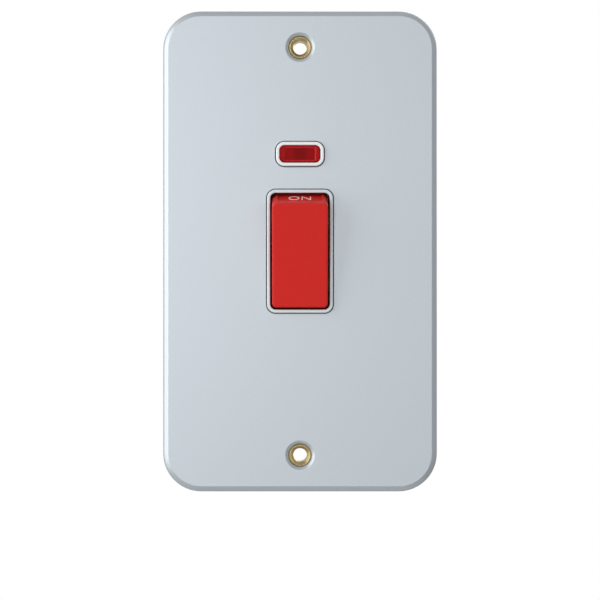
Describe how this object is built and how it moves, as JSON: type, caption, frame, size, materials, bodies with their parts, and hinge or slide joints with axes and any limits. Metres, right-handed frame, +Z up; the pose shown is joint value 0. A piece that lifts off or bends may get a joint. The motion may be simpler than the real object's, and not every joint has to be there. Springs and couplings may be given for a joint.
{
  "type": "double pole wall switch",
  "caption": "Vertical metal clad plate with a red double pole rocker switch, a red neon above it, brass bushed fixing holes, screw terminals and an earth strap behind.",
  "frame": {"origin": "middle of the plane where the plate's rim meets its mounting box, halfway between the fixing holes", "axes": "+X right as seen from the front, +Y into the wall, +Z up; the front faces -Y"},
  "size_m": [0.0812, 0.0397, 0.1422],
  "materials": {
    "plate_paint": "satin",
    "brass": "satin",
    "plated_steel": "satin",
    "white_moulding": "gloss",
    "base_moulding": "satin",
    "red_rocker": "gloss",
    "red_lens": "gloss",
    "lamp_glass": "gloss",
    "copper": "satin",
    "silver": "satin",
    "spring_steel": "satin",
    "plunger_moulding": "satin",
    "resistor_coat": "satin",
    "brown_lead": "satin",
    "blue_lead": "satin"
  },
  "bodies": {
    "housing": {"front_plate": "plate_paint", "upper_fixing_bush": "brass", "lower_fixing_bush": "brass", "earth_strap": "brass", "earth_terminal_left": "brass", "earth_terminal_right": "brass", "plate_studs": "plated_steel", "stud_nuts": "plated_steel", "switch_frame": "white_moulding", "switch_base": "base_moulding", "line_fixed_contact": "silver", "neutral_fixed_contact": "silver", "line_load_terminal": "brass", "neutral_load_terminal": "brass", "line_supply_terminal": "brass", "neutral_supply_terminal": "brass", "neon_bezel": "white_moulding", "neon_lens": "red_lens", "neon_lamp": "lamp_glass", "neon_cap": "white_moulding", "neon_resistor": "resistor_coat", "line_neon_lead": "brown_lead", "neutral_neon_lead": "blue_lead"},
    "rocker": {"rocker": "red_rocker", "line_plunger_spring": "spring_steel", "neutral_plunger_spring": "spring_steel"},
    "line_plunger": {"line_plunger": "plunger_moulding"},
    "neutral_plunger": {"neutral_plunger": "plunger_moulding"},
    "line_contact": {"line_moving_contact": "copper", "line_moving_tip": "silver"},
    "neutral_contact": {"neutral_moving_contact": "copper", "neutral_moving_tip": "silver"},
    "line_load_screw": {"line_load_screw": "plated_steel"},
    "neutral_load_screw": {"neutral_load_screw": "plated_steel"},
    "line_supply_screw": {"line_supply_screw": "plated_steel"},
    "neutral_supply_screw": {"neutral_supply_screw": "plated_steel"},
    "earth_screw_left": {"earth_screw_left": "brass"},
    "earth_screw_right": {"earth_screw_right": "brass"}
  },
  "joints": [
    {"name": "rocker_tilt", "type": "hinge", "parent": "housing", "child": "rocker", "pos_m": [0, -0.0015, 0], "axis": [1, 0, 0], "range_deg": [-16, 0]},
    {"name": "line_plunger_slide", "type": "slide", "parent": "rocker", "child": "line_plunger", "axis": [0, -0.9903, -0.1392], "range_m": [0, 0.0008], "stiffness_N_per_m": 800, "springref_m": -0.001, "deforming": ["line_plunger_spring"]},
    {"name": "line_contact_tilt", "type": "hinge", "parent": "housing", "child": "line_contact", "pos_m": [-0.00395, 0.01257, 0], "axis": [1, 0, 0], "range_deg": [0, 16]},
    {"name": "neutral_plunger_slide", "type": "slide", "parent": "rocker", "child": "neutral_plunger", "axis": [0, -0.9903, -0.1392], "range_m": [0, 0.0008], "stiffness_N_per_m": 800, "springref_m": -0.001, "deforming": ["neutral_plunger_spring"]},
    {"name": "neutral_contact_tilt", "type": "hinge", "parent": "housing", "child": "neutral_contact", "pos_m": [0.00395, 0.01257, 0], "axis": [1, 0, 0], "range_deg": [0, 16]},
    {"name": "line_supply_clamping", "type": "slide", "parent": "housing", "child": "line_supply_screw", "axis": [0, -1, 0], "range_m": [0, 0.00466]},
    {"name": "line_load_clamping", "type": "slide", "parent": "housing", "child": "line_load_screw", "axis": [0, -1, 0], "range_m": [0, 0.00466]},
    {"name": "neutral_supply_clamping", "type": "slide", "parent": "housing", "child": "neutral_supply_screw", "axis": [0, -1, 0], "range_m": [0, 0.00466]},
    {"name": "neutral_load_clamping", "type": "slide", "parent": "housing", "child": "neutral_load_screw", "axis": [0, -1, 0], "range_m": [0, 0.00466]},
    {"name": "earth_left_clamping", "type": "slide", "parent": "housing", "child": "earth_screw_left", "axis": [0, -1, 0], "range_m": [0, 0.00328]},
    {"name": "earth_right_clamping", "type": "slide", "parent": "housing", "child": "earth_screw_right", "axis": [0, -1, 0], "range_m": [0, 0.00328]}
  ],
  "couplings": [
    {"joint": "line_contact_tilt", "follows": "rocker_tilt", "ratio": -1},
    {"joint": "neutral_contact_tilt", "follows": "rocker_tilt", "ratio": -1}
  ]
}
